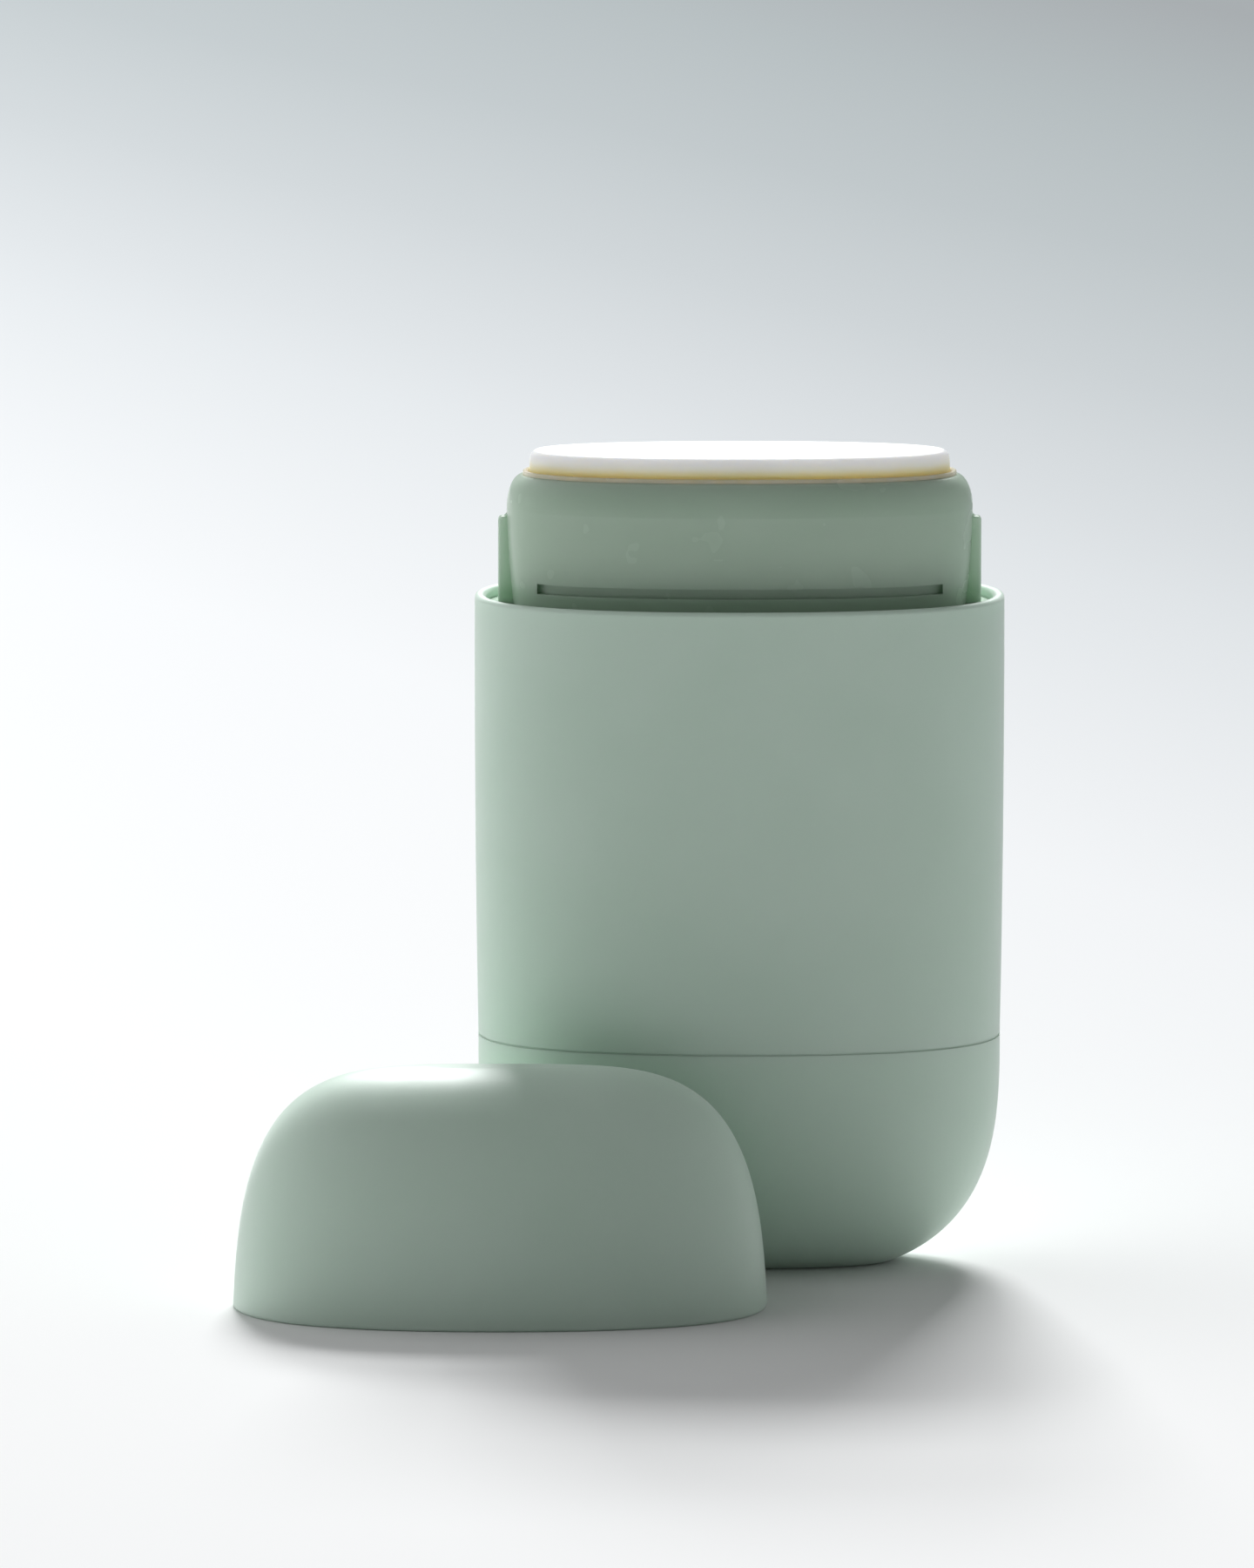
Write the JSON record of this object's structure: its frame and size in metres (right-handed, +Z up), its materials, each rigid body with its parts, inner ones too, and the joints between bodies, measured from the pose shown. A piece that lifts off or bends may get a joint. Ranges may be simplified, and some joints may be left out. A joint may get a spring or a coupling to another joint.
{
  "type": "refillable deodorant stick",
  "caption": "Refillable deodorant stick: oval case with a domed base, lift-out refill with white balm raised by an underside dial, and a domed cap standing beside it.",
  "frame": {"origin": "middle of the flat foot, on the surface that the stick stands on", "axes": "+Z up along the stick, +X to the right along the width, -Y to the front, where the cap stands"},
  "size_m": [0.0901, 0.0629, 0.0964],
  "materials": {
    "case_green": "matt",
    "frame_green": "satin",
    "refill_green": "satin",
    "dial_green": "matt",
    "natural_plastic": "satin",
    "balm": "waxy"
  },
  "bodies": {
    "case": {"base_cup": "case_green", "body_sleeve": "case_green", "inner_frame": "frame_green"},
    "dial": {"dial": "dial_green", "dial_clip": "dial_green", "drive_rod": "natural_plastic"},
    "refill": {"pod_shell": "refill_green", "pod_floor": "refill_green"},
    "screw": {"lead_screw": "natural_plastic", "screw_clip": "natural_plastic"},
    "lift": {"platform": "natural_plastic", "balm": "balm"},
    "cap": {"cap_shell": "case_green", "cap_liner": "frame_green"}
  },
  "joints": [
    {"name": "dial_turn", "type": "hinge", "parent": "case", "child": "dial", "pos_m": [0, 0, 0.002], "axis": [0, 0, 1], "range_deg": [-141, 2890]},
    {"name": "refill_lift", "type": "slide", "parent": "case", "child": "refill", "axis": [0, 0, 1], "range_m": [0, 0.08]},
    {"name": "screw_turn", "type": "hinge", "parent": "refill", "child": "screw", "pos_m": [0, 0, 0.03], "axis": [0, 0, 1], "range_deg": [-141, 2890]},
    {"name": "platform_rise", "type": "slide", "parent": "refill", "child": "lift", "axis": [0, 0, 1], "range_m": [-0.0023, 0.048]},
    {"name": "cap_lift", "type": "slide", "parent": "case", "child": "cap", "axis": [0, -0.6, 0.8], "range_m": [0, 0.12]}
  ],
  "couplings": [
    {"joint": "screw_turn", "follows": "platform_rise", "rad_per_m": 1047.2},
    {"joint": "dial_turn", "follows": "platform_rise", "rad_per_m": 1047.2}
  ]
}
